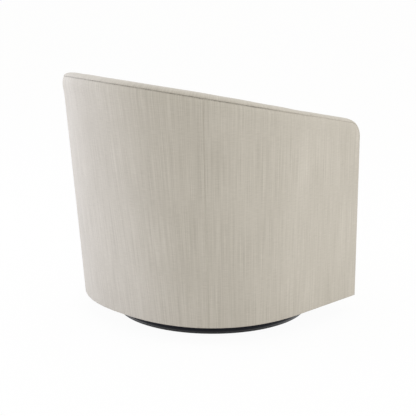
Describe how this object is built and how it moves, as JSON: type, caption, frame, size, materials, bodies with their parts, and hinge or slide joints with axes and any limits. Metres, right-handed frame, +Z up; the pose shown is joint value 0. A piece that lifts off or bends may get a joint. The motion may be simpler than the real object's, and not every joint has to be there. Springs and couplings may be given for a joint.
{
  "type": "swivel barrel chair",
  "caption": "Upholstered barrel armchair: a raked round back runs into straight arms under one crowned top band, loose seat cushion, full-turn ball bearing swivel on a tube ring base.",
  "frame": {"origin": "on the floor, on the swivel axis, at the centre of the ring base", "axes": "+Z up along the swivel axis, -Y the way the sitter faces at rest, +X to the sitter's left"},
  "size_m": [0.7378, 0.7731, 0.7283],
  "materials": {
    "upholstery_fabric": "matt woven upholstery fabric with fine vertical streaks",
    "deck_cloth": "plain matt decking cloth",
    "dust_cloth": "thin black non-woven cloth",
    "webbing": "woven elastic webbing",
    "foam": "upholstery foam with wadding",
    "plywood": "sanded plywood, not varnished",
    "fibreboard": "bent fibreboard",
    "black_steel": "gloss black coating",
    "zinc_steel": "zinc plated",
    "bearing_steel": "polished bearing steel",
    "black_plastic": "moulded nylon"
  },
  "bodies": {
    "base": {"floor_strip": "black_plastic", "base_ring": "black_steel", "ring_joint_sleeve": "zinc_steel", "cross_bars": "black_steel", "lower_swivel_plate": "zinc_steel", "base_bolts": "zinc_steel", "base_nuts": "zinc_steel", "lower_bearing_race": "bearing_steel", "pin_bush": "black_plastic", "pin_washer": "zinc_steel"},
    "ball_ring": {"ball_cage": "black_plastic", "bearing_balls": "bearing_steel"},
    "chair": {"upper_bearing_race": "bearing_steel", "upper_swivel_plate": "zinc_steel", "swivel_pin": "bearing_steel", "pin_clip": "zinc_steel", "swivel_mount_board": "plywood", "swivel_bolts": "zinc_steel", "tee_nuts": "zinc_steel", "bottom_board": "plywood", "front_rail": "plywood", "corner_blocks": "plywood", "seat_frame": "plywood", "seat_webbing": "webbing", "back_webbing": "webbing", "arm_front_board_left": "plywood", "arm_front_board_right": "plywood", "back_post_centre": "plywood", "back_post_left": "plywood", "back_post_right": "plywood", "corner_post_left": "plywood", "corner_post_right": "plywood", "arm_post_left": "plywood", "arm_post_right": "plywood", "back_top_rail": "plywood", "arm_rail_left": "plywood", "arm_rail_right": "plywood", "frame_screws": "zinc_steel", "outside_back_panel": "fibreboard", "outside_arm_panel_left": "fibreboard", "outside_arm_panel_right": "fibreboard", "outside_back_cover": "upholstery_fabric", "outside_arm_cover_left": "upholstery_fabric", "outside_arm_cover_right": "upholstery_fabric", "inside_back_foam": "foam", "inside_arm_foam_left": "foam", "inside_arm_foam_right": "foam", "inside_back_cover": "upholstery_fabric", "inside_arm_cover_left": "upholstery_fabric", "inside_arm_cover_right": "upholstery_fabric", "top_band_cover": "upholstery_fabric", "top_band_pad": "foam", "apron_pad": "foam", "apron_cover": "upholstery_fabric", "deck_pad": "foam", "deck_cover": "deck_cloth", "dust_cover": "dust_cloth"},
    "cushion": {"seat_cushion_cover": "upholstery_fabric", "seat_cushion_foam": "foam"}
  },
  "joints": [
    {"name": "seat_swivel", "type": "hinge", "parent": "base", "child": "chair", "pos_m": [0, 0, 0.0325], "axis": [0, 0, 1], "continuous": true},
    {"name": "ball_ring_spin", "type": "hinge", "parent": "base", "child": "ball_ring", "pos_m": [0, 0, 0.0325], "axis": [0, 0, 1], "continuous": true},
    {"name": "cushion_lift", "type": "slide", "parent": "chair", "child": "cushion", "axis": [0, 0, 1], "range_m": [0, 0.5]}
  ],
  "couplings": [
    {"joint": "ball_ring_spin", "follows": "seat_swivel", "ratio": 0.5}
  ]
}
